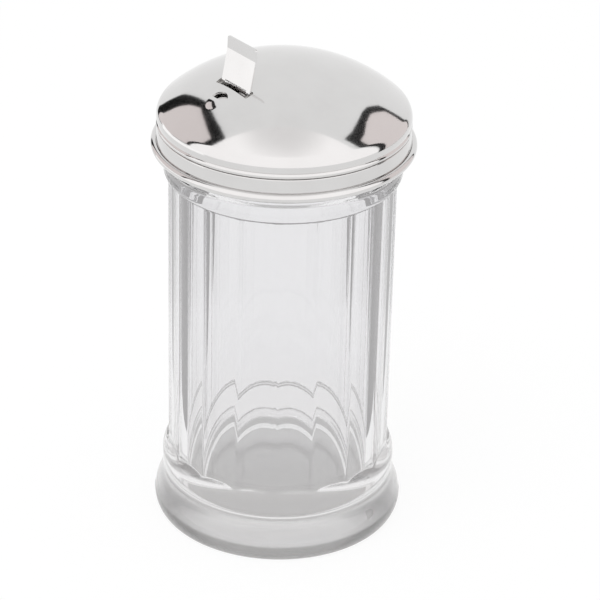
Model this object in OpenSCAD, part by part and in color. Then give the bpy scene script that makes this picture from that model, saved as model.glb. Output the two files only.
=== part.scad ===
// Sugar dispenser with flap: a fluted glass jar, a screwed lid with a domed cap, and a flap
// that stands up through a slot in the dome and closes the pouring hole from inside.
// Millimetres, +Z up, origin at the centre of the base. The flap and its hole face -Y.

/* [Jar] */
// Height of the glass from the base to its rim
jar_h = 125; // [110:1:150]
// Radius of the body over the ridges between the flutes
body_r = 33.1; // [27.6:0.1:39.8]
// Glass from the ridges to the inside of the jar
jar_wall = 2.9; // [2.4:0.1:3.5]
// Glass under the inside of the jar
floor_t = 9.5; // [7:0.5:12]
// Radius of the round corner at the bottom of the inside
floor_corner = 5; // [3:0.5:7]
// Height of the hollow under the base
punt_h = 1.2; // [0.6:0.1:2]
// Width of the flat ring that the jar stands on
stand_w = 4.5; // [3:0.5:6]
// Flutes round the body
flute_count = 18; // [14:1:24]
// Depth of a flute below the ridges
flute_depth = 0.8; // [0.65:0.05:1]
// Radius of a flute's hollow
flute_r = 55; // [45:1:120]

/* [Foot and bands] */
// How far the foot stands out beyond the ridges
foot_out = 4; // [3:0.1:5]
// Height of the widest part of the foot
foot_wide_z = 4; // [3:0.1:5]
// Height of the waist above the foot
waist_z = 12.8; // [11:0.1:14]
// How far the waist stands out beyond the ridges
waist_out = 1.35; // [1:0.05:1.5]
// How far the lower bulge stands out beyond the ridges
bulge_out = 1.6; // [1.5:0.05:2]
// Height of the lower bulge
bulge_z = 18; // [16.5:0.1:19.5]
// Radius of the lower bulge where it runs up into the flutes
bulge_round = 4.5; // [3.8:0.1:5.4]
// How far the band at the shoulder stands out beyond the ridges
band_out = 1.3; // [1:0.05:1.6]
// Height of the straight side of the band
band_h = 3.5; // [2.9:0.1:4.2]
// Radius of the band's underside where it runs down into the flutes
band_round = 2.5; // [2.1:0.1:3]
// Radius of the band's upper edge
band_edge = 0.9; // [0.5:0.1:1.3]

/* [Neck and thread] */
// Height of the neck above the band
neck_h = 9.5; // [9:0.1:12]
// How far the neck stands out beyond the ridges
neck_out = 0.2; // [0:0.05:0.5]
// Radius of the rim's outer edge
rim_edge = 0.7; // [0.4:0.1:1]
// Rise of the thread in one turn
thread_lead = 4.2; // [4:0.1:4.6]
// Height of the thread over the neck
thread_depth = 1.3; // [1:0.05:1.5]
// Width of a thread where it stands on its wall
thread_base = 1.8; // [1.5:0.05:1.8]
// Width of a thread along its top
thread_crest = 0.8; // [0.5:0.05:1]
// Turns of thread on the glass
jar_turns = 1.3; // [1:0.05:1.35]
// Turns of thread in the collar
collar_turns = 0.5; // [0.4:0.05:0.6]
// Radial room between a thread's top and the wall that it faces
thread_gap = 0.5; // [0.4:0.05:0.7]

/* [Lid] */
// Thickness of the sheet of the cap, the flap and the bracket
sheet = 0.6; // [0.5:0.05:0.7]
// Thickness of the sealing ring
seal_t = 0.9; // [0.7:0.1:1.2]
// Room round the sealing ring in the collar
seal_gap = 0.25; // [0.1:0.05:0.4]
// Wall of the collar at its top
collar_wall = 1.1; // [1:0.05:1.3]
// How much wider the skirt is at its foot
skirt_flare = 0.5; // [0.3:0.05:0.7]
// Height of the collar from the middle of its bead to its top
collar_h = 6.9; // [6.5:0.1:8]
// Radius of the rolled bead's section
bead_tube = 1.35; // [1.2:0.05:1.5]
// How far the bead stands out beyond the skirt's top
bead_out = 1.8; // [1.6:0.05:2]
// Height and depth of the crevice over the bead
crevice = 0.25; // [0.2:0.05:0.35]
// Width of the collar's flat top
web_w = 4.25; // [3.5:0.05:5]
// Radius of the ring that is rolled round the collar at the foot of the cap
crimp_r = 0.95; // [0.9:0.01:1]
// Height of the dome over the collar
dome_rise = 18; // [16:0.5:22]
// Height of the cap's widest part over the collar
shoulder_rise = 1.5; // [1.2:0.1:1.8]
// Radius of the cap's round shoulder
shoulder_r = 4.4; // [3.8:0.1:5]

/* [Flap] */
// Width of the flap
flap_w = 12.9; // [10.8:0.1:15.5]
// Height of the flap over the dome
flap_rise = 12.3; // [10.2:0.1:14.8]
// Distance of the flap from the middle of the dome
flap_out = 17.5; // [17:0.1:18]
// Lean of the flap towards the middle of the dome, in degrees
flap_lean = 11.5; // [10:0.5:13]
// Length of the bent tip
tip_l = 3.5; // [2:0.1:4]
// Bend of the tip, in degrees
tip_bend = 9; // [5:0.5:14]
// Inside radius of the tip's bend
tip_bend_r = 1.5; // [1:0.1:3]
// Radius of the flap's upper corners
corner_r = 0.6; // [0.4:0.1:1.5]
// Radius of the hinge pin
pin_r = 0.75; // [0.6:0.05:0.8]
// Radial room between the pin and the flap
run_gap = 0.05; // [0.03:0.01:0.08]
// Radial room between the pin and the bracket's ears
ear_gap = 0.03; // [0.01:0.01:0.05]
// Depth of the hinge pin's axis under the outside of the dome
pin_depth = 2.56; // [2.5:0.02:2.7]
// Room between the flap and the ends of its slot
slot_gap = 0.55; // [0.4:0.05:0.8]
// Room behind the flap in its slot
slot_back = 0.45; // [0.4:0.05:0.8]
// Room in front of the flap in its slot
slot_front = 1.7; // [1.6:0.05:2]
// Room on each side of the flap's foot between the ears
foot_gap = 0.6; // [0.5:0.05:1]
// Length of the leaf that closes the pouring hole, from the pin
leaf_l = 10; // [9.5:0.1:11]
// Room between the bracket and the dome that it is welded to
weld_gap = 0.03; // [0.01:0.01:0.05]

/* [Pouring hole] */
// Distance of the hole's straight edge from the middle of the dome
hole_out = 23.6; // [23.2:0.1:24]
// Radius of the half-round hole
hole_r = 2.9; // [2.4:0.1:3.1]
// Distance of the lip's middle from the middle of the dome
lip_out = 25.8; // [25.5:0.1:26.5]
// Radius of the lip on the dome
lip_r = 2; // [1.6:0.1:2.2]
// Height of the lip over the dome
lip_h = 0.9; // [0.6:0.1:1]

/* [Hidden] */

$fn = 96;
join = 0.2;
lap = 0.03;
past = 1;

jar_in = body_r - jar_wall;
neck_r = body_r + neck_out;
band_r = body_r + band_out;
band_top = jar_h - neck_h;
band_mid = band_top - band_h;
flute_mid = body_r - flute_depth;
stand_r = body_r + foot_out / 2;

// Heights of the threads' middles at the start of each thread
jar_thread_z = band_top + 2.6;
collar_thread_z = jar_thread_z + thread_lead * (jar_turns - collar_turns - 0.5);
thread_seg = 40;

collar_in = neck_r + thread_depth + thread_gap;
collar_r = collar_in + collar_wall;
seal_in = jar_in + 1;
web_z = jar_h + seal_t;
lid_z = web_z + sheet;
bead_z = lid_z - collar_h;
bead_r = collar_r + bead_out - bead_tube;
crimp_h = 1;
crimp_in = collar_r - 0.6;
flange_r = collar_r - 0.35;

cap_r = collar_r + 0.2;
shoulder_x = cap_r - shoulder_r;
shoulder_z = lid_z + shoulder_rise;
apex_z = lid_z + dome_rise;
shoulder_drop = apex_z - shoulder_z;
// The dome's radius makes it meet the shoulder without a corner
dome_r = (pow(shoulder_x, 2) + pow(shoulder_drop, 2) - pow(shoulder_r, 2))
    / (2 * (shoulder_drop - shoulder_r));
dome_z = apex_z - dome_r;
under_r = dome_r - sheet;

// Height over the base of a point of the dome's outside
function dome_at(x, y) = dome_z + sqrt(pow(dome_r, 2) - pow(x, 2) - pow(y, 2));

knuckle_in = pin_r + run_gap;
knuckle_out = knuckle_in + sheet;
// The pin lies in front of the flap, so that the flap's front face passes flap_out at the dome
pin_dist = dome_r - pin_depth;
function pin_y_at(y) = -flap_out - knuckle_in / cos(flap_lean)
    - (dome_at(0, flap_out) - dome_z - sqrt(pow(pin_dist, 2) - pow(y, 2))) * tan(flap_lean);
pin_y = pin_y_at(pin_y_at(flap_out + 1.5));
pin_z = dome_z + sqrt(pow(pin_dist, 2) - pow(pin_y, 2));
flap_top = dome_at(0, flap_out) + flap_rise;
plate_l = (flap_top - pin_z - tip_l) / cos(flap_lean);
plate_from = (dome_at(flap_w / 2, flap_out) + sheet / 3 - pin_z) / cos(flap_lean);
foot_w = flap_w - 2.9;
ear_x = foot_w / 2 + foot_gap;
ear_r = pin_r + 1.15;
leaf_r = pin_dist + knuckle_out;
leaf_w = foot_w - 1;
slot_w = flap_w + 2 * slot_gap;
slot_y0 = -flap_out - slot_front;
slot_y1 = -flap_out + sheet + slot_back;
bracket_r = under_r - weld_gap;
bracket_w = 2 * ear_x + 7.8;
bracket_y0 = pin_y - 3.5;
bracket_y1 = slot_y1 + 4;
lip_ball = (pow(lip_r, 2) + pow(lip_h, 2)) / (2 * lip_h);

// Outline of the foot at height z: a rounded edge, a hollow flare and a gentle swell
function foot_at(z) = z < foot_wide_z
    ? stand_r + (body_r + foot_out - stand_r) * sqrt(1 - pow(1 - z / foot_wide_z, 2))
    : z < waist_z
    ? body_r + waist_out + (foot_out - waist_out)
        * (1 + cos(180 * (z - foot_wide_z) / (waist_z - foot_wide_z))) / 2
    : body_r + waist_out + (bulge_out - waist_out)
        * sin(90 * (z - waist_z) / (bulge_z - waist_z));
foot_steps = 24;

// Half-plane profile turned round the Z axis
module turned() { rotate_extrude() children(); }

// Profile in the YZ plane, w wide along X and centred on it
module across(w) { rotate([90, 0, 90]) translate([0, 0, -w / 2]) linear_extrude(w) children(); }

// Frame on the dome's outside at distance y towards -Y, with Z square to the dome
module on_dome(y) { translate([0, 0, dome_z]) rotate([asin(y / dome_r), 0, 0]) children(); }

// Corners of a thread's section at a place along it, where it runs out at both ends
function thread_ring(root, crest, i, steps) =
    let (out = min(1, 0.05 + 6 * min(i, steps - i) / thread_seg),
        top = root + (crest - root) * out)
    [[root, -thread_base / 2], [top, -thread_crest / 2],
        [top, thread_crest / 2], [root, thread_base / 2]];

// Right-handed thread from z0 up, between a root radius and a crest radius
module thread(root, crest, turns, z0, start) {
    steps = round(turns * thread_seg);
    points = [for (i = [0:steps], p = thread_ring(root, crest, i, steps))
        let (a = start + 360 * i / thread_seg)
        [p[0] * cos(a), p[0] * sin(a), z0 + thread_lead * i / thread_seg + p[1]]];
    flip = crest < root;
    sides = [for (i = [0:steps - 1], j = [0:3])
        let (a = 4 * i + j, b = 4 * i + (j + 1) % 4)
        each [[a, b, a + 4], [b, b + 4, a + 4]]];
    ends = [[0, 3, 2], [0, 2, 1], [4 * steps, 4 * steps + 1, 4 * steps + 2],
        [4 * steps, 4 * steps + 2, 4 * steps + 3]];
    faces = [for (f = concat(sides, ends)) flip ? [f[2], f[1], f[0]] : f];
    polyhedron(points, faces);
}

// Section of the fluted body
module fluted() {
    difference() {
        circle(r = body_r);
        for (k = [0:flute_count - 1])
            rotate(360 * (k + 0.5) / flute_count) translate([flute_mid + flute_r, 0]) circle(r = flute_r);
    }
}

// Outer profile of the foot and the lower bulge
module foot_profile() {
    polygon(concat([[0, 0]],
        [for (i = [0:foot_steps]) let (z = bulge_z * i / foot_steps) [foot_at(z), z]],
        [[0, bulge_z]]));
    intersection() {
        translate([body_r + bulge_out - bulge_round, bulge_z]) circle(r = bulge_round);
        translate([0, bulge_z]) square([body_r + bulge_out, bulge_round]);
    }
    translate([0, bulge_z]) square([body_r + bulge_out - bulge_round, bulge_round]);
}

// Outer profile of the band and the neck
module band_profile() {
    intersection() {
        translate([band_r - band_round, band_mid]) circle(r = band_round);
        translate([0, band_mid - band_round]) square([band_r, band_round]);
    }
    translate([0, band_mid - band_round]) square([band_r - band_round, band_round]);
    translate([0, band_mid]) square([band_r, band_h - band_edge]);
    translate([0, band_mid]) square([band_r - band_edge, band_h]);
    translate([band_r - band_edge, band_top - band_edge]) circle(r = band_edge);
    translate([0, band_mid]) square([neck_r, jar_h - rim_edge - band_mid]);
    translate([0, band_mid]) square([neck_r - rim_edge, jar_h - band_mid]);
    translate([neck_r - rim_edge, jar_h - rim_edge]) circle(r = rim_edge);
}

// Inside of the jar, up through its mouth
module inside_profile() {
    translate([0, floor_t + floor_corner]) square([jar_in, jar_h]);
    translate([0, floor_t]) square([jar_in - floor_corner, jar_h]);
    translate([jar_in - floor_corner, floor_t + floor_corner]) circle(r = floor_corner);
}

// Hollow under the base, a shallow part of a ball
module punt() {
    r = stand_r - stand_w;
    ball = (pow(r, 2) + pow(punt_h, 2)) / (2 * punt_h);
    translate([0, 0, punt_h - ball]) sphere(r = ball);
}

module jar() {
    color([0.86, 0.9, 0.9, 0.45]) difference() {
        union() {
            turned() foot_profile();
            translate([0, 0, bulge_z]) linear_extrude(band_mid - bulge_z) fluted();
            turned() band_profile();
            thread(neck_r - join, neck_r + thread_depth, jar_turns, jar_thread_z, 0);
        }
        turned() inside_profile();
        punt();
    }
}

module sealing_ring() {
    color([0.82, 0.82, 0.78]) translate([0, 0, jar_h]) difference() {
        cylinder(r = collar_in - seal_gap, h = seal_t);
        translate([0, 0, -past]) cylinder(r = seal_in, h = seal_t + 2 * past);
    }
}

// Section of the collar: flat top with a flange, groove for the cap, flared skirt and bead
module collar_profile() {
    difference() {
        union() {
            translate([flange_r - web_w, web_z]) square([web_w, sheet]);
            translate([collar_in, bead_z]) square([crimp_in - collar_in, lid_z - bead_z]);
            translate([collar_in, bead_z - bead_tube]) square([bead_r - collar_in, bead_tube + join]);
            polygon([[collar_in, bead_z], [collar_r + skirt_flare, bead_z],
                [collar_r, web_z - crimp_h], [collar_in, web_z - crimp_h]]);
            translate([bead_r, bead_z]) circle(r = bead_tube);
        }
        translate([bead_r - crevice, bead_z + bead_tube - crevice / 2]) square([1, crevice]);
    }
}

module collar() {
    color([0.8, 0.8, 0.81]) {
        turned() collar_profile();
        thread(collar_in + join, neck_r + thread_gap, collar_turns, collar_thread_z,
            360 * (jar_turns - collar_turns));
    }
}

// Everything inside the cap's surface, moved in by a depth
module cap_body(in) {
    slope = atan2(shoulder_z - dome_z, shoulder_x);
    reach = dome_r + past;
    intersection() {
        translate([0, dome_z]) circle(r = dome_r - in, $fn = 240);
        polygon([[0, dome_z], [reach * cos(slope), dome_z + reach * sin(slope)],
            [reach * cos(slope), apex_z + past], [0, apex_z + past]]);
    }
    intersection() {
        translate([shoulder_x, shoulder_z]) circle(r = shoulder_r - in);
        translate([0, lid_z]) square([cap_r, 2 * shoulder_r]);
    }
    polygon([[0, lid_z], [shoulder_x, lid_z], [shoulder_x, shoulder_z], [0, dome_z]]);
}

// Section of the domed cap with the ring that is rolled round the collar
module cap_profile() {
    notch = 0.22;
    difference() {
        union() {
            cap_body(0);
            translate([cap_r + 0.05 - crimp_r, web_z - crimp_h + crimp_r]) circle(r = crimp_r);
        }
        cap_body(sheet);
        translate([0, dome_z]) square([crimp_in, lid_z - dome_z]);
        translate([0, web_z]) square([flange_r, sheet]);
        translate([cap_r - 0.08, lid_z + 0.2]) circle(r = notch);
    }
}

// Raised lip beyond the pouring hole, less a depth
module lip_ball(in) {
    on_dome(lip_out) translate([0, 0, dome_r + lip_h - lip_ball]) sphere(r = lip_ball - in);
}

module dome_cap() {
    color([0.84, 0.84, 0.85]) difference() {
        union() {
            turned() cap_profile();
            difference() {
                lip_ball(0);
                translate([0, 0, dome_z]) sphere(r = under_r + join, $fn = 240);
            }
        }
        lip_ball(sheet);
        // Slot for the flap
        translate([-slot_w / 2, slot_y0, pin_z]) cube([slot_w, slot_y1 - slot_y0, dome_rise]);
        // Half-round pouring hole with its straight edge away from the flap
        on_dome(hole_out) intersection() {
            translate([0, 0, under_r - 2 * past]) cylinder(r = hole_r, h = 4 * past);
            translate([-hole_r, 0, under_r - 2 * past]) cube([2 * hole_r, hole_r, 4 * past]);
        }
    }
}

// Part of a sheet under the dome, between two values of y
module under_sheet(w, y0, y1) {
    intersection() {
        translate([0, 0, dome_z]) difference() {
            sphere(r = bracket_r, $fn = 240);
            sphere(r = bracket_r - sheet, $fn = 240);
        }
        translate([-w / 2, y0, pin_z - 5]) cube([w, y1 - y0, dome_rise]);
    }
}

module hinge_bracket() {
    color([0.72, 0.72, 0.73]) difference() {
        union() {
            difference() {
                under_sheet(bracket_w, bracket_y0, bracket_y1);
                translate([-ear_x, bracket_y0 - past, pin_z - 5])
                    cube([2 * ear_x, slot_y1 + 0.4 + past - bracket_y0, dome_rise]);
            }
            for (side = [-1, 1]) intersection() {
                translate([side * (ear_x + sheet / 2), 0, 0]) across(sheet) {
                    translate([pin_y, pin_z]) circle(r = ear_r);
                    translate([pin_y - ear_r, pin_z]) square([2 * ear_r, 4]);
                }
                translate([0, 0, dome_z]) sphere(r = bracket_r, $fn = 240);
            }
        }
        across(2 * bracket_w) translate([pin_y, pin_z]) circle(r = pin_r + ear_gap);
    }
}

module hinge_pin() {
    color([0.66, 0.66, 0.68]) across(2 * (ear_x + sheet + 0.4)) translate([pin_y, pin_z]) circle(r = pin_r);
}

// Places a profile at the pin with its second axis along the leaning flap
module at_pin() { translate([pin_y, pin_z]) rotate(-flap_lean) children(); }

// Section of the upright plate and its bent tip, from a distance along the flap
module plate_profile(from) {
    at_pin() {
        translate([knuckle_in, from]) square([sheet, plate_l - from + lap]);
        translate([knuckle_in - tip_bend_r, plate_l]) {
            intersection() {
                difference() {
                    circle(r = tip_bend_r + sheet);
                    circle(r = tip_bend_r);
                }
                polygon([[0, 0], [9, 0], [9 * cos(tip_bend), 9 * sin(tip_bend)]]);
            }
            rotate(tip_bend) translate([tip_bend_r, -lap]) square([sheet, tip_l + lap]);
        }
    }
}

// Section of the leaf, rolled under the dome from over the pin
module leaf_profile() {
    turn = 180 / PI * leaf_l / leaf_r;
    from = 90 + atan2(-pin_y, pin_z - dome_z);
    intersection() {
        translate([0, dome_z]) difference() {
            circle(r = leaf_r, $fn = 240);
            circle(r = leaf_r - sheet, $fn = 240);
        }
        translate([0, dome_z]) polygon([[0, 0], [60 * cos(from), 60 * sin(from)],
            [60 * cos(from + turn), 60 * sin(from + turn)]]);
    }
}

module flap() {
    color([0.9, 0.9, 0.91]) difference() {
        union() {
            intersection() {
                across(flap_w) plate_profile(plate_from);
                translate([0, 30, 0]) rotate([90, 0, 0]) linear_extrude(60) {
                    translate([-flap_w / 2, 0]) square([flap_w, flap_top - corner_r]);
                    translate([corner_r - flap_w / 2, 0]) square([flap_w - 2 * corner_r, flap_top + 1]);
                    for (side = [-1, 1])
                        translate([side * (flap_w / 2 - corner_r), flap_top - corner_r]) circle(r = corner_r);
                }
            }
            across(foot_w) {
                at_pin() translate([knuckle_in, 0]) square([sheet, plate_from + past]);
                translate([pin_y, pin_z]) circle(r = knuckle_out);
            }
            across(leaf_w) leaf_profile();
        }
        across(2 * flap_w) translate([pin_y, pin_z]) circle(r = knuckle_in);
    }
}

jar();
sealing_ring();
collar();
dome_cap();
hinge_bracket();
hinge_pin();
flap();
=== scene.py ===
import math
import bpy
import bmesh
from mathutils import Matrix, Vector


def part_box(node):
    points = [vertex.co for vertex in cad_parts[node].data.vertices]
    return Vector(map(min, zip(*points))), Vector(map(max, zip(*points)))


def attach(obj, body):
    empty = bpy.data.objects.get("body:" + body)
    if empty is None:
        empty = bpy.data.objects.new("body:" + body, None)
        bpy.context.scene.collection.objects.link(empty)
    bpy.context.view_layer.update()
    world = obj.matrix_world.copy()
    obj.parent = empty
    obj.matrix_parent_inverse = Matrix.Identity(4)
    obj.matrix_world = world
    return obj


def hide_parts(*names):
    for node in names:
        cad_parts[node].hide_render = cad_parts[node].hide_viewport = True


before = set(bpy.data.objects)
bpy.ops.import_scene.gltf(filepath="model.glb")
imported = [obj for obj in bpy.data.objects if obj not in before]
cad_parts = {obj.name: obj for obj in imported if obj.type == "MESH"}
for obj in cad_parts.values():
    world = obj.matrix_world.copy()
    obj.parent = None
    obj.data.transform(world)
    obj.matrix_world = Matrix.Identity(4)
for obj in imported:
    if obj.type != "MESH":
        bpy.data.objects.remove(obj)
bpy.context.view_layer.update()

# Sugar dispenser with flap: fluted glass jar, screwed lid of polished metal, upright flap.
# Sizes below are millimetres and degrees unless a comment says otherwise; meshes are in metres.
mm = 0.001
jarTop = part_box("jar")[1].z / mm
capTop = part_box("dome_cap")[1].z / mm
print("frame loaded, jar height %.1f mm" % jarTop)


# Camera

cameraValues = {
    "azimuth": 51.2,        # round from the flap's side towards +X
    "tilt": 28.845,         # looking down
    "roll": 1.376,
    "distance": 822.7,      # from the aim to the lens
    "aim": (3.55, 4.41, 67.9),
    "lens": 168,
    "sensor": 36,
    "near": 50,
    "far": 20000,
}


def makeCamera(values):
    azimuth, tilt = math.radians(values["azimuth"]), math.radians(values["tilt"])
    level = math.cos(tilt)
    forward = Vector((-math.sin(azimuth) * level, math.cos(azimuth) * level, -math.sin(tilt)))
    right = Vector((math.cos(azimuth), math.sin(azimuth), 0))
    up = right.cross(forward)
    turn = math.radians(values["roll"])
    axisX = math.cos(turn) * right + math.sin(turn) * up
    axisY = math.cos(turn) * up - math.sin(turn) * right
    data = bpy.data.cameras.new("photoCamera")
    data.lens = values["lens"]
    data.sensor_width = values["sensor"]
    data.clip_start = values["near"] * mm
    data.clip_end = values["far"] * mm
    camera = bpy.data.objects.new("photoCamera", data)
    bpy.context.collection.objects.link(camera)
    place = (Vector(values["aim"]) - forward * values["distance"]) * mm
    facing = Matrix((axisX, axisY, -forward)).transposed().to_4x4()
    camera.matrix_world = Matrix.Translation(place) @ facing
    bpy.context.scene.camera = camera


makeCamera(cameraValues)
print("camera placed")


# Shared mesh helpers

def smoothMax(a, b, blend):
    # The larger of two, rounded where they come closer than blend
    near = max(blend - abs(a - b), 0) / blend
    return max(a, b) + near * near * blend / 4


def arcPoints(centre, radius, start, end, count):
    # Points of an arc, angles in degrees from the +r direction
    turns = [math.radians(start + (end - start) * i / count) for i in range(count + 1)]
    return [(centre[0] + radius * math.cos(a), centre[1] + radius * math.sin(a)) for a in turns]


def spaced(low, high, step):
    # Evenly spaced values from low to high, about a step apart
    count = max(1, round(abs(high - low) / step))
    return [low + (high - low) * i / count for i in range(count + 1)]


def meshObject(name, points, faces, smoothAngle=35):
    # Smooth mesh of points in millimetres, sharp at edges over the angle
    mesh = bpy.data.meshes.new(name)
    mesh.from_pydata([(p[0] * mm, p[1] * mm, p[2] * mm) for p in points], [], faces)
    made = bmesh.new()
    made.from_mesh(mesh)
    bmesh.ops.remove_doubles(made, verts=made.verts, dist=1e-6)
    bmesh.ops.recalc_face_normals(made, faces=made.faces)
    made.to_mesh(mesh)
    made.free()
    mesh.shade_smooth()
    mesh.set_sharp_from_angle(angle=math.radians(smoothAngle))
    piece = bpy.data.objects.new(name, mesh)
    bpy.context.collection.objects.link(piece)
    return piece


def lathe(name, profile, angles, shape, closed, smoothAngle=35):
    # Turns a profile of (r, z, kind) round Z; shape moves each point and may use its angle
    rows = [[shape(r, z, kind, a) for r, z, kind in profile] for a in angles]
    count, around = len(profile), len(angles)
    points = [p for row in rows for p in row]
    last = count if closed else count - 1
    faces = []
    for i in range(around):
        ahead = (i + 1) % around
        for j in range(last):
            beside = (j + 1) % count
            faces.append((i * count + j, ahead * count + j, ahead * count + beside, i * count + beside))
    return meshObject(name, points, faces, smoothAngle)


def threadHeight(angle, z, values):
    # How far a thread stands over its wall at an angle and a height. It grows to its full
    # depth over 1 / runOut of a turn at both ends.
    best = 0
    for whole in range(math.ceil(values["turns"]) + 1):
        turn = ((angle - values["start"]) % 360) / 360 + whole
        if turn > values["turns"]:
            continue
        fade = min(1, values["runOut"] * turn, values["runOut"] * (values["turns"] - turn))
        off = abs(z - values["low"] - values["lead"] * turn)
        slope = (values["base"] - values["crest"]) / 2
        flank = min(1, max(0, values["base"] / 2 - off) / slope)
        best = max(best, fade * values["depth"] * flank)
    return best


# Shared shader groups

def newGroup(name, inputs, outputs):
    # Shader group of plain numbers; inputs give their names and defaults
    group = bpy.data.node_groups.new(name, "ShaderNodeTree")
    for label, value in inputs.items():
        socket = group.interface.new_socket(label, in_out="INPUT", socket_type="NodeSocketFloat")
        socket.default_value = value
    for label in outputs:
        group.interface.new_socket(label, in_out="OUTPUT", socket_type="NodeSocketFloat")
    return group, group.nodes.new("NodeGroupInput"), group.nodes.new("NodeGroupOutput")


def addMath(tree, operation, first, second=None, third=None):
    node = tree.nodes.new("ShaderNodeMath")
    node.operation = operation
    for place, value in enumerate((first, second, third)):
        if value is None:
            continue
        if isinstance(value, (int, float)):
            node.inputs[place].default_value = value
        else:
            tree.links.new(value, node.inputs[place])
    return node.outputs[0]


def addNoise(tree, vector, scale, detail, roughness=0.5):
    node = tree.nodes.new("ShaderNodeTexNoise")
    tree.links.new(vector, node.inputs["Vector"])
    if isinstance(scale, (int, float)):
        node.inputs["Scale"].default_value = scale
    else:
        tree.links.new(scale, node.inputs["Scale"])
    node.inputs["Detail"].default_value = detail
    node.inputs["Roughness"].default_value = roughness
    return node.outputs["Fac"]


spunLineValues = {"drift": 0.0004, "detail": 3}


def makeSpunLines(values):
    # Fine rings round Z that a spun and polished sheet keeps
    group, given, out = newGroup("spunLines", {"Lines per mm": 6, "Strength": 1}, ["Mask"])
    place = group.nodes.new("ShaderNodeTexCoord")
    split = group.nodes.new("ShaderNodeSeparateXYZ")
    group.links.new(place.outputs["Object"], split.inputs[0])
    square = addMath(group, "ADD", addMath(group, "MULTIPLY", split.outputs[0], split.outputs[0]),
                     addMath(group, "MULTIPLY", split.outputs[1], split.outputs[1]))
    radius = addMath(group, "SQRT", square)
    angle = addMath(group, "ARCTAN2", split.outputs[1], split.outputs[0])
    join = group.nodes.new("ShaderNodeCombineXYZ")
    group.links.new(radius, join.inputs[0])
    group.links.new(split.outputs[2], join.inputs[1])
    group.links.new(addMath(group, "MULTIPLY", angle, values["drift"]), join.inputs[2])
    perMetre = addMath(group, "MULTIPLY", given.outputs[0], 1 / mm)
    lines = addNoise(group, join.outputs[0], perMetre, values["detail"])
    group.links.new(addMath(group, "MULTIPLY", lines, given.outputs[1]), out.inputs[0])
    return group


handlingValues = {
    "smudgeDetail": 4,
    "smudgeGrain": 0.6,
    "smudgeContrast": 2,
    "smudgeSoftness": 0.2,
    "specksFiner": 14,      # than the smudges
    "speckDetail": 2,
    "speckContrast": 3,
}


def makeHandlingMarks(values):
    # Soft smudges and small rubbed spots that fingers leave
    group, given, out = newGroup("handlingMarks", {"Size mm": 12, "Amount": 1}, ["Smudge", "Specks"])
    place = group.nodes.new("ShaderNodeTexCoord")
    scale = addMath(group, "DIVIDE", 1 / mm, given.outputs[0])
    clouds = addNoise(group, place.outputs["Object"], scale, values["smudgeDetail"], values["smudgeGrain"])
    clouds = addMath(group, "POWER", clouds, values["smudgeContrast"])
    smudge = addMath(group, "SMOOTH_MIN", clouds, 1, values["smudgeSoftness"])
    group.links.new(addMath(group, "MULTIPLY", smudge, given.outputs[1]), out.inputs[0])
    finer = addMath(group, "MULTIPLY", scale, values["specksFiner"])
    dots = addNoise(group, place.outputs["Object"], finer, values["speckDetail"])
    specks = addMath(group, "POWER", dots, values["speckContrast"])
    group.links.new(addMath(group, "MULTIPLY", specks, given.outputs[1]), out.inputs[1])
    return group


def makeLowMask():
    # 1 below a height, fading to 0 at another; heights in metres
    group, given, out = newGroup("lowMask", {"From": 0, "To": 0.01}, ["Mask"])
    place = group.nodes.new("ShaderNodeTexCoord")
    split = group.nodes.new("ShaderNodeSeparateXYZ")
    group.links.new(place.outputs["Object"], split.inputs[0])
    ramp = group.nodes.new("ShaderNodeMapRange")
    ramp.interpolation_type = "SMOOTHSTEP"
    for slot, value in enumerate((split.outputs[2], given.outputs[0], given.outputs[1])):
        group.links.new(value, ramp.inputs[slot])
    ramp.inputs["To Min"].default_value = 1
    ramp.inputs["To Max"].default_value = 0
    group.links.new(ramp.outputs[0], out.inputs[0])
    return group


spunLines = makeSpunLines(spunLineValues)
lowMask = makeLowMask()
handlingMarks = makeHandlingMarks(handlingValues)


def newMaterial(name):
    material = bpy.data.materials.new(name)
    material.use_nodes = True
    tree = material.node_tree
    return material, tree, tree.nodes["Principled BSDF"]


def addGroup(tree, group, values):
    node = tree.nodes.new("ShaderNodeGroup")
    node.node_tree = group
    for label, value in values.items():
        node.inputs[label].default_value = value
    return node


def addBump(tree, shader, height, strength, distance):
    bump = tree.nodes.new("ShaderNodeBump")
    bump.inputs["Strength"].default_value = strength
    bump.inputs["Distance"].default_value = distance
    tree.links.new(height, bump.inputs["Height"])
    tree.links.new(bump.outputs["Normal"], shader.inputs["Normal"])


def mixColours(tree, mask, first, second):
    # Goes from the first colour to the second as the mask rises; sockets 6 and 7 take the colours
    mix = tree.nodes.new("ShaderNodeMix")
    mix.data_type = "RGBA"
    tree.links.new(mask, mix.inputs[0])
    for place, colour in ((6, first), (7, second)):
        if isinstance(colour, tuple):
            mix.inputs[place].default_value = (*colour, 1)
        else:
            tree.links.new(colour, mix.inputs[place])
    return mix.outputs[2]


# Polished metal of the cap, the collar and the flap

polishedValues = {
    "colour": (0.685, 0.68, 0.676),
    "duller": (0.61, 0.60, 0.595),
    "roughness": 0.045,
    "smudge": 0.07,         # roughness that smudges add
    "smudgeSize": 14,
    "linesPerMm": 5,
    "lineRoughness": 0.04,
    "speckHeight": 0.6,     # beside the lines'
    "bump": 0.25,
    "lineDepth": 0.0000012,     # metres
}


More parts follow.
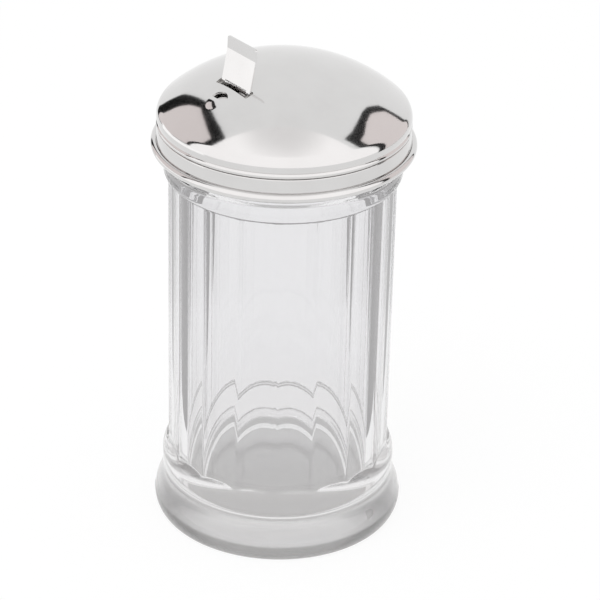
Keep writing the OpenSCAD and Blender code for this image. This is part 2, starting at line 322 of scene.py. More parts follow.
def makePolishedMetal(values):
    material, tree, shader = newMaterial("polishedMetal")
    marks = addGroup(tree, handlingMarks, {"Size mm": values["smudgeSize"], "Amount": 1})
    lines = addGroup(tree, spunLines, {"Lines per mm": values["linesPerMm"], "Strength": 1})
    smudge, specks, rings = marks.outputs["Smudge"], marks.outputs["Specks"], lines.outputs["Mask"]
    colour = mixColours(tree, smudge, values["colour"], values["duller"])
    tree.links.new(colour, shader.inputs["Base Color"])
    shader.inputs["Metallic"].default_value = 1
    rough = addMath(tree, "MULTIPLY_ADD", smudge, values["smudge"], values["roughness"])
    rough = addMath(tree, "MULTIPLY_ADD", rings, values["lineRoughness"], rough)
    tree.links.new(rough, shader.inputs["Roughness"])
    height = addMath(tree, "MULTIPLY_ADD", specks, values["speckHeight"], rings)
    addBump(tree, shader, height, values["bump"], values["lineDepth"])
    return material


# Plain steel of the hinge's bracket and pin, inside the lid

innerSteelValues = {
    "colour": (0.50, 0.49, 0.47),
    "duller": (0.33, 0.32, 0.31),
    "metallic": 1,
    "roughness": 0.3,
    "smudge": 0.3,          # roughness that smudges add
    "smudgeSize": 3,
    "marks": 1.3,
    "bump": 0.4,
    "speckDepth": 0.00002,      # metres
}


# Pale rubber of the sealing ring

sealRubberValues = {
    "colour": (0.62, 0.61, 0.56),
    "duller": (0.46, 0.45, 0.40),
    "metallic": 0,
    "roughness": 0.55,
    "smudge": 0.2,
    "smudgeSize": 5,
    "marks": 1,
    "bump": 0.5,
    "speckDepth": 0.00003,
}


def makeHandledSurface(name, values):
    material, tree, shader = newMaterial(name)
    marks = addGroup(tree, handlingMarks, {"Size mm": values["smudgeSize"], "Amount": values["marks"]})
    smudge = marks.outputs["Smudge"]
    colour = mixColours(tree, smudge, values["colour"], values["duller"])
    tree.links.new(colour, shader.inputs["Base Color"])
    shader.inputs["Metallic"].default_value = values["metallic"]
    rough = addMath(tree, "MULTIPLY_ADD", smudge, values["smudge"], values["roughness"])
    tree.links.new(rough, shader.inputs["Roughness"])
    addBump(tree, shader, marks.outputs["Specks"], values["bump"], values["speckDepth"])
    return material


# Clear pressed glass of the jar, with painted shade on its foot and base

glassValues = {
    "clear": (0.895, 0.893, 0.902),
    "grey": (0.87, 0.868, 0.874),
    # Painted shade: the foot is tinted darker below footFrom, fading out by footTo, for the shade the thick
    # glass shows
    "foot": (0.88, 0.873, 0.875),
    "footFrom": 0.012,      # metres over the ground, as are the next heights
    "footTo": 0.038,
    "base": (0.36, 0.355, 0.35),    # painted shade round the stand and under it, a dark bottom edge
    "baseFrom": 0.0048,
    "baseTo": 0.0056,
    "baseRoughness": 0.22,
    "index": 1.5,
    "roughness": 0.006,
    "speckRoughness": 0.02,
    "smudgeSize": 22,
    "bump": 0.5,
    "ripple": 0.00006,      # metres
}


def makeClearGlass(values):
    material, tree, shader = newMaterial("clearGlass")
    marks = addGroup(tree, handlingMarks, {"Size mm": values["smudgeSize"], "Amount": 1})
    smudge, specks = marks.outputs["Smudge"], marks.outputs["Specks"]
    colour = mixColours(tree, smudge, values["clear"], values["grey"])
    # Painted shade: the foot a little darker and the base round the stand much darker
    for part in ("foot", "base"):
        low = addGroup(tree, lowMask, {"From": values[part + "From"], "To": values[part + "To"]})
        colour = mixColours(tree, low.outputs["Mask"], colour, values[part])
    baseMask = low.outputs["Mask"]
    tree.links.new(colour, shader.inputs["Base Color"])
    shader.inputs["Metallic"].default_value = 0
    shader.inputs["Transmission Weight"].default_value = 1
    shader.inputs["IOR"].default_value = values["index"]
    rough = addMath(tree, "MULTIPLY_ADD", specks, values["speckRoughness"], values["roughness"])
    rough = addMath(tree, "MULTIPLY_ADD", baseMask, values["baseRoughness"], rough)
    tree.links.new(rough, shader.inputs["Roughness"])
    addBump(tree, shader, smudge, values["bump"], values["ripple"])
    return material


polishedMetal = makePolishedMetal(polishedValues)
innerSteel = makeHandledSurface("innerSteel", innerSteelValues)
sealRubber = makeHandledSurface("sealRubber", sealRubberValues)
clearGlass = makeClearGlass(glassValues)
print("materials made")


def finishPiece(piece, material, body, slotName, *nodes):
    # Gives a piece its material and body; the nodes are those it stands for. The slot name is not used.
    piece.data.materials.clear()
    piece.data.materials.append(material)
    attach(piece, body)
    if nodes:
        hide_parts(*nodes)


# Jar: base, foot, fluted body, band, neck with thread and the inside, as one closed wall

jarValues = {
    "height": jarTop,
    "ridge": 33.1,          # radius over the ridges
    "inside": 30.2,
    "insideEdge": 0.6,
    "floor": 9.5,
    "floorCorner": 5,
    "puntHeight": 1.2,
    "stand": 35.1,
    "standWidth": 4.5,
    "standEdge": 1,
    "flutes": 18,
    "fluteDepth": 0.8,
    "fluteHollow": 55,      # radius of a flute's hollow
    "footWide": 37.1,
    "footWideZ": 4,
    "waist": 34.45,
    "waistZ": 12.8,
    "bulge": 34.7,
    "bulgeZ": 18,
    "bulgeRound": 4.5,
    "plainLow": 24,         # between these heights only the flutes show
    "plainHigh": 107,
    "band": 34.4,
    "bandZ": 112,
    "bandTop": 115.5,
    "bandRound": 2.5,
    "bandEdge": 0.9,
    "neck": 33.3,
    "neckFrom": 0.3,        # over the band
    "rimEdge": 0.7,
    "fillet": 0.35,         # softness where a flute runs into a band
    "around": 20,           # steps across a flute
    "steps": {"wall": 2.5, "foot": 0.4, "overBulge": 0.2, "underBand": 0.15, "band": 0.8, "neck": 0.28},
    "thread": {"start": 0, "turns": 1.3, "low": 118.1, "lead": 4.2, "base": 1.8, "crest": 0.8,
               "depth": 1.3, "runOut": 6},
}


def fluteRadius(angle, values):
    # Radius of the fluted section at an angle in degrees
    step = 360 / values["flutes"]
    off = math.radians((angle % step) - step / 2)
    hollow = values["fluteHollow"]
    centre = values["ridge"] - values["fluteDepth"] + hollow
    return centre * math.cos(off) - math.sqrt(hollow ** 2 - (centre * math.sin(off)) ** 2)


def footRadius(z, v):
    # Radius of the foot: rounded edge, hollow flare down to the waist, then up to the bulge
    if z < v["footWideZ"]:
        return v["stand"] + (v["footWide"] - v["stand"]) * math.sqrt(1 - (1 - z / v["footWideZ"]) ** 2)
    if z < v["waistZ"]:
        along = (z - v["footWideZ"]) / (v["waistZ"] - v["footWideZ"])
        return v["waist"] + (v["footWide"] - v["waist"]) * (1 + math.cos(math.pi * along)) / 2
    along = (z - v["waistZ"]) / (v["bulgeZ"] - v["waistZ"])
    return v["waist"] + (v["bulge"] - v["waist"]) * math.sin(math.pi / 2 * along)


def roundedRadius(z, middle, widest, rounding):
    # Radius of a turned band that curves in above and below its middle
    reach = rounding ** 2 - (z - middle) ** 2
    return widest - rounding + math.sqrt(reach) if reach > 0 else 0


def jarProfile(v):
    # Closed wall from the middle of the base round the outside and back to the middle of the floor
    steps = v["steps"]
    punt = v["stand"] - v["standWidth"]
    points = [(r, v["puntHeight"] * (1 - (r / punt) ** 2), "plain") for r in spaced(0, punt, steps["wall"])]
    points += [(v["stand"] - v["standEdge"], 0, "plain")]
    rise = [v["footWideZ"] * (1 - math.cos(math.pi / 2 * i / 12)) for i in range(13)]
    rise += spaced(v["footWideZ"], v["bulgeZ"], steps["foot"])[1:]
    points += [(footRadius(z, v), z, "plain") for z in rise]
    for low, high, step in (("bulgeZ", "plainLow", "overBulge"), ("plainLow", "plainHigh", "wall"),
                            ("plainHigh", "bandZ", "underBand")):
        points += [(0, z, "fluted") for z in spaced(v[low], v[high], steps[step])[1:]]
    edge = (v["band"] - v["bandEdge"], v["bandTop"] - v["bandEdge"])
    points += [(v["band"], z, "plain") for z in spaced(v["bandZ"], edge[1], steps["band"])[1:]]
    points += [(r, z, "plain") for r, z in arcPoints(edge, v["bandEdge"], 0, 75, 6)[1:]]
    rim = (v["neck"] - v["rimEdge"], v["height"] - v["rimEdge"])
    neck = spaced(v["bandTop"] + v["neckFrom"], rim[1], steps["neck"])
    points += [(v["neck"], z, "thread") for z in neck]
    points += [(r, z, "plain") for r, z in arcPoints(rim, v["rimEdge"], 0, 90, 6)[1:]]
    points += [(v["inside"] + v["insideEdge"], v["height"], "plain")]
    points += [(v["inside"], v["height"] - v["insideEdge"], "plain")]
    corner = (v["inside"] - v["floorCorner"], v["floor"] + v["floorCorner"])
    points += [(v["inside"], z, "plain") for z in spaced(v["height"] - 2, corner[1], steps["wall"])]
    points += [(r, z, "plain") for r, z in arcPoints(corner, v["floorCorner"], 0, -90, 12)[1:]]
    points += [(r, v["floor"], "plain") for r in spaced(corner[0], 0, steps["wall"])[1:]]
    return points


def makeJar(v):
    def shape(r, z, kind, angle):
        if kind == "fluted":
            turned = max(roundedRadius(z, v["bulgeZ"], v["bulge"], v["bulgeRound"]),
                         roundedRadius(z, v["bandZ"], v["band"], v["bandRound"]))
            r = smoothMax(fluteRadius(angle, v), turned, v["fillet"])
        if kind == "thread":
            r += threadHeight(angle, z, v["thread"])
        turn = math.radians(angle)
        return (r * math.cos(turn), r * math.sin(turn), z)

    count = v["flutes"] * v["around"]
    return lathe("glassJar", jarProfile(v), [360 * i / count for i in range(count)], shape, False)


glassJar = makeJar(jarValues)
finishPiece(glassJar, clearGlass, "jar", "clear_glass", "jar")
print("jar made, %d faces" % len(glassJar.data.polygons))


# Collar: flat top, groove for the cap, flared skirt, crevice, rolled bead and inner thread

collarValues = {
    "inside": 35.1,
    "webInside": 31.6,
    "webZ": 125.9,
    "top": 126.5,
    "grooveZ": 124.9,
    "groove": 35.6,
    "flange": 35.85,
    "skirt": 36.2,
    "skirtFoot": 36.7,
    "beadZ": 119.6,
    "bead": 36.65,
    "beadTube": 1.35,
    "crevice": 0.5,         # depth of the gap over the bead
    "creviceRows": (0.22, 0.12, -0.2),      # skirt's end, gap's top and foot over the bead's top
    "edge": 0.1,            # cut off the ring's inner edges
    "shoulder": 0.15,       # rounding at the top of the skirt
    "step": 0.4,
    "threadStep": 0.3,
    "around": 288,
    "thread": {"start": 288, "turns": 0.5, "low": 119.36, "lead": 4.2, "base": 1.8, "crest": 0.8,
               "depth": 1.3, "runOut": 6},
}


def makeCollar(v):
    beadTop = v["beadZ"] + v["beadTube"]
    inner = spaced(v["beadZ"] - v["beadTube"], v["webZ"], v["threadStep"])
    loop = [(v["inside"], z, "thread") for z in inner]
    web = [(v["webInside"] + v["edge"], v["webZ"]), (v["webInside"], v["webZ"] + v["edge"]),
           (v["webInside"], v["top"] - v["edge"]), (v["webInside"] + v["edge"], v["top"]),
           (v["flange"], v["top"]), (v["flange"], v["webZ"]),
           (v["groove"], v["webZ"]), (v["groove"], v["grooveZ"])]
    shoulder = (v["skirt"] - v["shoulder"], v["grooveZ"] - v["shoulder"])
    web += arcPoints(shoulder, v["shoulder"], 90, 0, 4)
    skirtEnd, gapTop, gapFoot = (beadTop + rise for rise in v["creviceRows"])
    for z in spaced(v["grooveZ"] - 2 * v["shoulder"], skirtEnd, v["step"]):
        along = (v["grooveZ"] - z) / (v["grooveZ"] - v["beadZ"])
        web.append((v["skirt"] + (v["skirtFoot"] - v["skirt"]) * along, z))
    deep = v["bead"] - v["crevice"]
    web += [(deep, gapTop), (deep, gapFoot)]
    web += arcPoints((v["bead"], v["beadZ"]), v["beadTube"], 82, -90, 22)
    loop += [(r, z, "plain") for r, z in web]

    def shape(r, z, kind, angle):
        if kind == "thread":
            r -= threadHeight(angle, z, v["thread"])
        turn = math.radians(angle)
        return (r * math.cos(turn), r * math.sin(turn), z)

    angles = [360 * i / v["around"] for i in range(v["around"])]
    return lathe("lidCollar", loop, angles, shape, True)


lidCollar = makeCollar(collarValues)
finishPiece(lidCollar, polishedMetal, "lid", "polished_metal", "collar")
print("collar made")


# Cap: dome, round shoulder and crimped ring, with the slot, the pouring hole and its lip

capValues = {
    "sheet": 0.6,
    "apex": capTop,
    "shoulder": 4.4,
    "widest": 36.4,
    "shoulderZ": 128,
    "crimp": 0.95,
    "crimpZ": 125.85,
    "crimpInside": 35.6,
    "flange": 35.85,
    "webZ": 125.9,
    "top": 126.5,
    "notch": [(-0.34, 0.32), (-0.42, 0.2), (-0.34, 0.1)],   # from the widest radius and the top
    "slotWidth": 14,
    "slotCorner": 0.5,
    "slotBack": 16.45,      # from the middle of the dome
    "slotFront": 19.2,
    "slotCut": (137, 150),
    "holeEdge": 23.6,
    "holeRadius": 2.9,
    "holeCut": 3,           # below and above the dome
    "lipLength": 3.5,
    "lipHeight": 0.32,
    "closeRadii": (14, 30),     # close steps between these, round the slot and the hole
    "radialSteps": (0.9, 0.22, 0.5),
    "closeHalf": 22,        # degrees to each side of the flap with close steps
    "closeStep": 0.5,
    "farStep": 2,
    "sharpAngle": 40,
}
capSide = capValues["widest"] - capValues["shoulder"]
capDrop = capValues["apex"] - capValues["shoulderZ"]
domeRadius = (capSide ** 2 + capDrop ** 2 - capValues["shoulder"] ** 2)
domeRadius /= 2 * (capDrop - capValues["shoulder"])
domeZ = capValues["apex"] - domeRadius


def lipRise(x, y, v):
    # Half-round swelling of the dome beyond the hole's straight edge, rising softly from it
    beyond = (-y - v["holeEdge"]) / v["lipLength"]
    across = x / v["holeRadius"]
    away = beyond ** 2 + across ** 2
    if beyond < -0.25 or away > 1:
        return 0
    start = min(1, max(0, (beyond + 0.02) / 0.3))
    return v["lipHeight"] * (1 - away) ** 0.8 * start * start * (3 - 2 * start)


def capProfile(v):
    # Outer face of the sheet from the apex down to the crimped ring, then the inner face back up
    sheet = v["sheet"]
    slope = math.degrees(math.atan2(v["shoulderZ"] - domeZ, capSide))
    meeting = domeRadius * math.cos(math.radians(slope))
    near, far = v["closeRadii"]
    steps = v["radialSteps"]
    radii = spaced(0, near, steps[0]) + spaced(near, far, steps[1])[1:] + spaced(far, meeting, steps[2])[1:]

    def domeRows(radius, scale):
        return [(r * scale, domeZ + math.sqrt(radius ** 2 - (r * scale) ** 2), "dome") for r in radii]

    middle = (capSide, v["shoulderZ"])
    edge = arcPoints(middle, v["shoulder"], slope, -14, 26)[1:]
    edge += [(v["widest"] + r, v["top"] + z) for r, z in v["notch"]]
    ring = (v["widest"] + 0.05 - v["crimp"], v["crimpZ"])
    edge += arcPoints(ring, v["crimp"], 44, -84, 16)
    edge += [(v["crimpInside"], v["crimpZ"] - v["crimp"] + 0.02), (v["crimpInside"], v["webZ"]),
             (v["flange"], v["webZ"]), (v["flange"], v["top"]), (v["crimpInside"], v["top"])]
    inner = domeRows(domeRadius - sheet, (domeRadius - sheet) / domeRadius)
    turned = arcPoints(middle, v["shoulder"] - sheet, slope, -16, 16)[1:]
    inner += [(r, z, "plain") for r, z in turned]
    return domeRows(domeRadius, 1) + [(r, z, "plain") for r, z in edge] + inner[::-1]


def capAngles(v):
    # Closer steps on the flap's side, at 270 degrees
    half = v["closeHalf"]
    near = [270 + a for a in spaced(-half, half, v["closeStep"])]
    return near + [270 + half + a for a in spaced(0, 360 - 2 * half, v["farStep"])[1:-1]]


def cutWith(piece, cutter):
    # Takes the cutter's solid out of the piece
    modifier = piece.modifiers.new("cut", "BOOLEAN")
    modifier.operation, modifier.solver, modifier.object = "DIFFERENCE", "EXACT", cutter
    evaluated = piece.evaluated_get(bpy.context.evaluated_depsgraph_get())
    mesh = bpy.data.meshes.new_from_object(evaluated)
    piece.modifiers.clear()
    piece.data = mesh
    bpy.data.objects.remove(cutter)


def prism(name, outline, low, high):
    # Closed prism over an outline in XY
    count = len(outline)
    points = [(x, y, z) for z in (low, high) for x, y in outline]
    faces = [tuple(range(count))[::-1], tuple(range(count, 2 * count))]
    faces += [(i, (i + 1) % count, count + (i + 1) % count, count + i) for i in range(count)]
    return meshObject(name, points, faces)


def slotOutline(v):
    # Slot for the flap with rounded corners, as points in XY
    half, corner = v["slotWidth"] / 2 - v["slotCorner"], v["slotCorner"]
    back, front = -v["slotBack"] - corner, -v["slotFront"] + corner
    corners = ((half, back, 0), (-half, back, 90), (-half, front, 180), (half, front, 270))
    return [(x + corner * math.cos(math.radians(a)), y + corner * math.sin(math.radians(a)))
            for x, y, start in corners for a in spaced(start, start + 90, 15)]


def makeCap(v):
    def shape(r, z, kind, angle):
        turn = math.radians(angle)
        x, y = r * math.cos(turn), r * math.sin(turn)
        rise = lipRise(x, y, v) if kind == "dome" else 0
        if not rise:
            return (x, y, z)
        outward = Vector((x, y, z - domeZ)).normalized() * rise
        return (x + outward.x, y + outward.y, z + outward.z)

    piece = lathe("domeCap", capProfile(v), capAngles(v), shape, False, v["sharpAngle"])
    cutWith(piece, prism("slotCutter", slotOutline(v), *v["slotCut"]))
    hole = [(v["holeRadius"] * math.cos(math.radians(a)), v["holeRadius"] * math.sin(math.radians(a)))
            for a in spaced(0, 180, 5)]
    cutter = prism("holeCutter", hole, domeRadius - v["holeCut"], domeRadius + v["holeCut"])
    lean = math.asin(v["holeEdge"] / domeRadius)
    cutter.matrix_world = Matrix.Translation((0, 0, domeZ * mm)) @ Matrix.Rotation(lean, 4, "X")
    bpy.context.view_layer.update()
    cutWith(piece, cutter)
    piece.data.set_sharp_from_angle(angle=math.radians(v["sharpAngle"]))
    return piece


domeCap = makeCap(capValues)
finishPiece(domeCap, polishedMetal, "lid", "polished_metal", "dome_cap")
print("cap made, %d faces" % len(domeCap.data.polygons))


# Flap: upright plate with a bent tip, knuckle on the pin, and the leaf under the pouring hole

flapValues = {
    "sheet": 0.6,
    "width": 12.9,
    "pin": (-18.988, 138.211),      # Y and Z of the hinge's axis
    "pinRadius": 0.8,
    "lean": 11.5,
    "top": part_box("flap")[1].z / mm,
    "tip": 3.5,
    "tipBend": 9,
    "tipBendRadius": 1.5,
    "tipRoom": 0.1,                 # left under the highest point
    "wideFrom": 3.15,
    "footOverlap": 0.6,             # of the narrow foot into the plate
    "footWidth": 10,
    "leafWidth": 9,
    "leafLength": 10,
    "leafRoom": 0.14,               # under the dome
    "leafStep": 0.012,              # radians
    "corner": 0.6,
    "edge": 0.12,                   # rounding of the sheet's cut edges
    "knuckleSteps": 40,
}


def sheetStrip(path, widths, sheet, edge):
    # Closed strip of sheet along a path of (y, z) on its front face, with softened edges
    points, faces = [], []
    for i, (y, z) in enumerate(path):
        before, after = path[max(0, i - 1)], path[min(len(path) - 1, i + 1)]
        along = Vector((after[0] - before[0], after[1] - before[1])).normalized()
        side = Vector((along.y, -along.x))
        half = widths[i] / 2
        inset = edge if 0 < i < len(path) - 1 else edge * 1.6
        ring = [(half - inset, 0), (half, edge), (half, sheet - edge), (half - inset, sheet),
                (inset - half, sheet), (-half, sheet - edge), (-half, edge), (inset - half, 0)]
        points += [(x, y + side.x * d, z + side.y * d) for x, d in ring]
    for i in range(len(path) - 1):
        for j in range(8):
            a, b = 8 * i + j, 8 * i + (j + 1) % 8
            faces.append((a, b, b + 8, a + 8))
    last = 8 * (len(path) - 1)
    faces += [tuple(range(8))[::-1], tuple(range(last, last + 8))]
    return points, faces


def platePath(v, atPin, along, across, plateLength):
    # Front face of the upright plate, its bend and its tip, with the width at each step
    heights = [v["wideFrom"], v["wideFrom"] + 0.15] + spaced(v["wideFrom"] + 1, plateLength, 1.5)
    path = [atPin(v["pinRadius"], h) for h in heights]
    bendRadius = v["tipBendRadius"]
    for a in spaced(0, v["tipBend"], 1.5)[1:]:
        turn = math.radians(a)
        off = v["pinRadius"] - bendRadius * (1 - math.cos(turn))
        path.append(atPin(off, plateLength + bendRadius * math.sin(turn)))
    turn, last = math.radians(v["tipBend"]), path[-1]
    tipAlong = along * math.cos(turn) - across * math.sin(turn)
    corner, flat = v["corner"], v["tip"] - v["corner"]
    rounded = [math.radians(a) for a in spaced(15, 90, 15)]
    steps = spaced(0.5, flat, 0.8) + [flat + corner * math.sin(a) for a in rounded]
    path += [(last[0] + tipAlong.x * s, last[1] + tipAlong.y * s) for s in steps]
    widths = [v["width"]] * (len(path) - len(rounded))
    widths += [v["width"] - 2 * corner * (1 - math.cos(a)) for a in rounded]
    return path, widths


def knuckle(v, pin):
    # Tube round the pin between the ears
    outer, count = v["pinRadius"] + v["sheet"], v["knuckleSteps"]
    half, points, faces = v["footWidth"] / 2, [], []
    for x, radius in ((half, outer), (half, v["pinRadius"]), (-half, v["pinRadius"]), (-half, outer)):
        for i in range(count):
            a = 2 * math.pi * i / count
            points.append((x, pin.x + radius * math.cos(a), pin.y + radius * math.sin(a)))
    for ring in range(4):
        low, high = ring * count, (ring + 1) % 4 * count
        for i in range(count):
            ahead = (i + 1) % count
            faces.append((low + i, low + ahead, high + ahead, high + i))
    return points, faces


def makeFlap(v):
    lean = math.radians(v["lean"])
    tipHeight = v["tip"] * math.cos(math.radians(v["lean"] - v["tipBend"]))
    plateLength = (v["top"] - v["pin"][1] - tipHeight) / math.cos(lean) - v["tipRoom"]
    along = Vector((math.sin(lean), math.cos(lean)))
    across = Vector((math.cos(lean), -math.sin(lean)))
    pin = Vector(v["pin"])

    def atPin(off, up):
        spot = pin + across * off + along * up
        return (spot.x, spot.y)

    path, widths = platePath(v, atPin, along, across, plateLength)
    joined = [sheetStrip(path, widths, v["sheet"], v["edge"])]
    foot = [atPin(v["pinRadius"], h) for h in spaced(0, v["wideFrom"] + v["footOverlap"], 0.8)]
    joined.append(sheetStrip(foot, [v["footWidth"]] * len(foot), v["sheet"], v["edge"]))
    # Leaf under the dome, from over the pin outwards
    leafRadius = domeRadius - capValues["sheet"] - v["leafRoom"] - v["sheet"]
    start = math.atan2(pin.y - domeZ, pin.x)
    turns = spaced(0, v["leafLength"] / (leafRadius + v["sheet"]), v["leafStep"])
    leaf = [(leafRadius * math.cos(start + t), domeZ + leafRadius * math.sin(start + t)) for t in turns]
    joined.append(sheetStrip(leaf, [v["leafWidth"]] * len(leaf), -v["sheet"], -v["edge"]))
    joined.append(knuckle(v, pin))
    points, faces = [], []
    for some, sides in joined:
        faces += [tuple(i + len(points) for i in side) for side in sides]
        points += some
    return meshObject("flapPlate", points, faces, 30)


flapPlate = makeFlap(flapValues)
finishPiece(flapPlate, polishedMetal, "flap", "polished_metal", "flap")
print("flap made")


# Pieces inside the lid keep their own shape and get their finish

innerFinish = {"sealing_ring": sealRubber, "hinge_bracket": innerSteel, "hinge_pin": innerSteel}
for node, material in innerFinish.items():
    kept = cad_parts[node]
    kept.data.materials.clear()
    kept.data.materials.append(material)
print("inner pieces finished")


# Floor, world and lamps

stageValues = {
    "floorHalf": 3000,
    "floorColour": (0.93, 0.93, 0.93),
    "floorGlow": 1.03,
    "floorShadow": 0.12,    # how much of the floor's own shading the camera sees
    "floorRoughness": 0.9,
    "worldDiffuse": 0.75,   # brightness of the world for diffuse light
    "lidHeight": 130,       # from which the cards' elevations are taken
    "bounces": 28,
}


def seenPlainly(tree):
    # 1 for rays from the camera, a mirror or through glass
    path = tree.nodes.new("ShaderNodeLightPath")
    either = addMath(tree, "MAXIMUM", path.outputs["Is Camera Ray"], path.outputs["Is Glossy Ray"])
    return addMath(tree, "MAXIMUM", either, path.outputs["Is Transmission Ray"])


def makeFloor(values):
    half = values["floorHalf"]
    points = [(-half, -half, 0), (half, -half, 0), (half, half, 0), (-half, half, 0)]
    floor = meshObject("floor", points, [(0, 1, 2, 3)])
    material, tree, shader = newMaterial("paleFloor")
    shader.inputs["Base Color"].default_value = (*values["floorColour"], 1)
    shader.inputs["Roughness"].default_value = values["floorRoughness"]
    shader.inputs["Specular IOR Level"].default_value = 0
    white = tree.nodes.new("ShaderNodeEmission")
    white.inputs["Strength"].default_value = values["floorGlow"]
    blend = tree.nodes.new("ShaderNodeMixShader")
    share = addMath(tree, "MULTIPLY", seenPlainly(tree), 1 - values["floorShadow"])
    tree.links.new(share, blend.inputs[0])
    tree.links.new(shader.outputs[0], blend.inputs[1])
    tree.links.new(white.outputs[0], blend.inputs[2])
    tree.links.new(blend.outputs[0], tree.nodes["Material Output"].inputs["Surface"])
    floor.data.materials.append(material)


def makeWorld(values):
    world = bpy.data.worlds.new("studio")
    bpy.context.scene.world = world
    world.use_nodes = True
    tree = world.node_tree
    dim = values["worldDiffuse"]
    strength = addMath(tree, "MULTIPLY_ADD", seenPlainly(tree), 1 - dim, dim)
    background = tree.nodes["Background"]
    background.inputs["Color"].default_value = (1, 1, 1, 1)
    tree.links.new(strength, background.inputs["Strength"])


def toward(azimuth, rise, distance):
    # Place at an azimuth round the lid from -Y, and an elevation over it
    turn, up = math.radians(azimuth), math.radians(rise)
    return (math.sin(turn) * math.cos(up) * distance, -math.cos(turn) * math.cos(up) * distance,
            stageValues["lidHeight"] + math.sin(up) * distance)


# Places are azimuth, elevation and distance; power is in watts
lampValues = [
    {"name": "overheadLamp", "place": (20, 62, 900), "target": (0, 0, 100), "size": 500, "power": 1.7},
    {"name": "fillLamp", "place": (-10, 35, 1200), "target": (0, 0, 80), "size": 500, "power": 0.5},
]


def makeLamp(values):
    data = bpy.data.lights.new(values["name"], "AREA")
    data.size = values["size"] * mm
    data.energy = values["power"]
    lamp = bpy.data.objects.new(values["name"], data)
    bpy.context.collection.objects.link(lamp)
    lamp.visible_glossy = False
    place = Vector(toward(*values["place"]))
    facing = (Vector(values["target"]) - place).to_track_quat("-Z", "Y").to_matrix().to_4x4()
    lamp.matrix_world = Matrix.Translation(place * mm) @ facing


# Screens round the object that the lid and the glass show: grey ones with dark borders at
# both sides, and a bright one overhead and in front. Corners are azimuth and elevation.
screenValues = [
    {
        "name": "leftScreen",
        "distance": 600,
        "inside": (0.90, 0.83, 0.82),
        "border": (0.012, 0.012, 0.012),
        "outer": [(-97, -12), (-96, 5), (-95, 17), (-90, 28), (-83, 40), (-65, 51), (-50, 56),
                  (-36, 58), (-34, 4)],
        "inner": [(-90, -12), (-88, 5), (-86, 22), (-84, 29), (-79, 38), (-62, 46), (-50, 49),
                  (-44, 50), (-38, 4)],
    },
    {
        "name": "rightScreen",
        "distance": 600,
        "inside": (0.94, 0.87, 0.86),
        "border": (0.03, 0.03, 0.03),
        "outer": [(138, -12), (143, 57), (156, 53), (168, 49), (181, 42), (186, 37), (190, 28),
                  (189, 20), (187, -12)],
        "inner": [(146, -12), (150, 48), (158, 46), (171, 43), (180, 38), (183, 34), (187, 26),
                  (186, 18), (185, -12)],
    },
]


def setSight(card, glossy, transmission):
    # No card is seen by the camera or lights anything; it shows in mirrors, through glass or both
    card.visible_camera = False
    card.visible_diffuse = False
    card.visible_shadow = False
    card.visible_glossy = glossy
    card.visible_transmission = transmission


def glowMaterial(name, colour):
    material, tree = newMaterial(name)[:2]
    glow = tree.nodes.new("ShaderNodeEmission")
    glow.inputs["Color"].default_value = (*colour, 1)
    tree.links.new(glow.outputs[0], tree.nodes["Material Output"].inputs["Surface"])
    return material, tree, glow


def bentCard(name, azimuths, rises, distance):
    # Card bent round the lid over a grid of azimuths and elevations
    points = [toward(a, e, distance) for e in rises for a in azimuths]
    wide = len(azimuths)
    faces = [(j * wide + i, j * wide + i + 1, (j + 1) * wide + i + 1, (j + 1) * wide + i)
             for j in range(len(rises) - 1) for i in range(wide - 1)]
    return meshObject(name, points, faces)


def makeScreen(values):
    distance, count = values["distance"], len(values["outer"])
    points = [toward(*corner, distance) for corner in values["outer"] + values["inner"]]
    middle = [sum(corner[i] for corner in values["inner"]) / count for i in (0, 1)]
    points.append(toward(*middle, distance))
    faces = [(i, (i + 1) % count, count + (i + 1) % count, count + i) for i in range(count)]
    faces += [(count + i, count + (i + 1) % count, 2 * count) for i in range(count)]
    screen = meshObject(values["name"], points, faces)
    for part in ("border", "inside"):
        screen.data.materials.append(glowMaterial(values["name"] + part.capitalize(), values[part])[0])
    for face in screen.data.polygons:
        face.material_index = 1 if face.index >= count else 0
    setSight(screen, True, True)


frontValues = {
    "azimuths": (-36, 138),
    "rises": (-8, 90),
    "distance": 700,
    "colour": (1.0, 0.985, 0.985),
    "gain": 0.32,           # brightness over the surroundings
    "softFrom": 86,         # elevations between which the gain fades
    "softTo": 62,
}


def makeFrontScreen(v):
    # Bright half tent in front, fading to the surroundings towards its top
    screen = bentCard("frontScreen", spaced(*v["azimuths"], 6), spaced(*v["rises"], 4), v["distance"])
    material, tree, glow = glowMaterial("frontGlow", v["colour"])
    place = tree.nodes.new("ShaderNodeTexCoord")
    split = tree.nodes.new("ShaderNodeSeparateXYZ")
    tree.links.new(place.outputs["Object"], split.inputs[0])
    ramp = tree.nodes.new("ShaderNodeMapRange")
    ramp.interpolation_type = "SMOOTHSTEP"
    tree.links.new(split.outputs[2], ramp.inputs[0])
    ramp.inputs["From Min"].default_value = toward(0, v["softTo"], v["distance"])[2] * mm
    ramp.inputs["From Max"].default_value = toward(0, v["softFrom"], v["distance"])[2] * mm
    ramp.inputs["To Min"].default_value = 1 + v["gain"]
    ramp.inputs["To Max"].default_value = 1
    tree.links.new(ramp.outputs[0], glow.inputs["Strength"])
    screen.data.materials.append(material)
    setSight(screen, True, False)


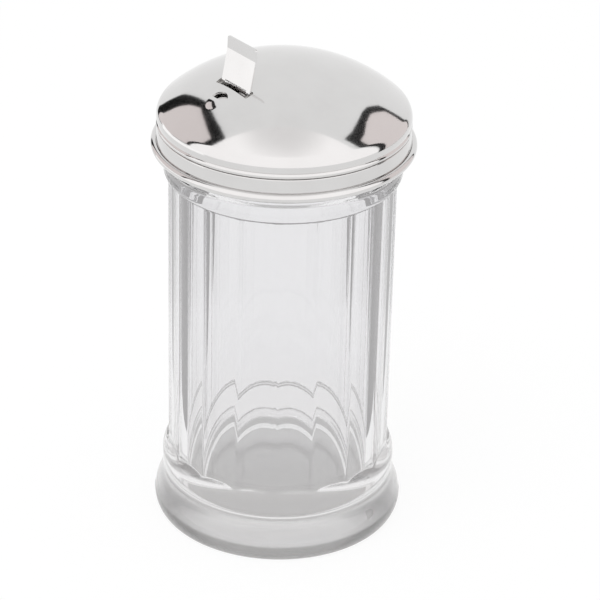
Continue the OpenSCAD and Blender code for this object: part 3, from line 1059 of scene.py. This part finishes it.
lowValues = {"azimuths": (-76, -18), "rises": (-14, -3), "distance": 480, "colour": (1.38, 1.37, 1.37)}


def makeLowScreen(v):
    # Low bright strip that the upright flap shows
    strip = bentCard("lowScreen", spaced(*v["azimuths"], 4), v["rises"], v["distance"])
    strip.data.materials.append(glowMaterial("lowGlow", v["colour"])[0])
    setSight(strip, True, False)


flagValues = {
    "aside": 74,            # across the photograph's view, from the jar's axis
    "front": -30,
    "back": 260,
    "low": 1,
    "high": 140,
    "colour": (0.40, 0.395, 0.395),
}


def makeFlags(v):
    # Dark cards at both sides, behind the glass, that darken its edges
    turn = math.radians(cameraValues["azimuth"])
    right = Vector((math.cos(turn), math.sin(turn), 0))
    away = Vector((-math.sin(turn), math.cos(turn), 0))
    outline = ((v["front"], v["low"]), (v["back"], v["low"]), (v["back"], v["high"]), (v["front"], v["high"]))
    for side, name in ((-1, "leftFlag"), (1, "rightFlag")):
        corners = [side * v["aside"] * right + depth * away + Vector((0, 0, z)) for depth, z in outline]
        flag = meshObject(name, [tuple(corner) for corner in corners], [(0, 1, 2, 3)])
        flag.data.materials.append(glowMaterial(name + "Dark", v["colour"])[0])
        setSight(flag, False, True)


ringValues = {"distance": 900, "rises": (-6, 9), "colour": (0.30, 0.29, 0.29)}


def makeDarkRing(v):
    # Grey horizon that only light bent by the glass reaches
    ring = bentCard("darkRing", spaced(0, 360, 6), v["rises"], v["distance"])
    ring.data.materials.append(glowMaterial("ringGlow", v["colour"])[0])
    setSight(ring, False, True)


makeFloor(stageValues)
makeWorld(stageValues)
for lamp in lampValues:
    makeLamp(lamp)
for screen in screenValues:
    makeScreen(screen)
makeFrontScreen(frontValues)
makeLowScreen(lowValues)
makeFlags(flagValues)
makeDarkRing(ringValues)
bpy.context.scene.view_settings.view_transform = "Standard"
bpy.context.scene.cycles.max_bounces = stageValues["bounces"]
bpy.context.scene.cycles.glossy_bounces = stageValues["bounces"]
bpy.context.scene.cycles.transmission_bounces = stageValues["bounces"]
print("stage and light made")
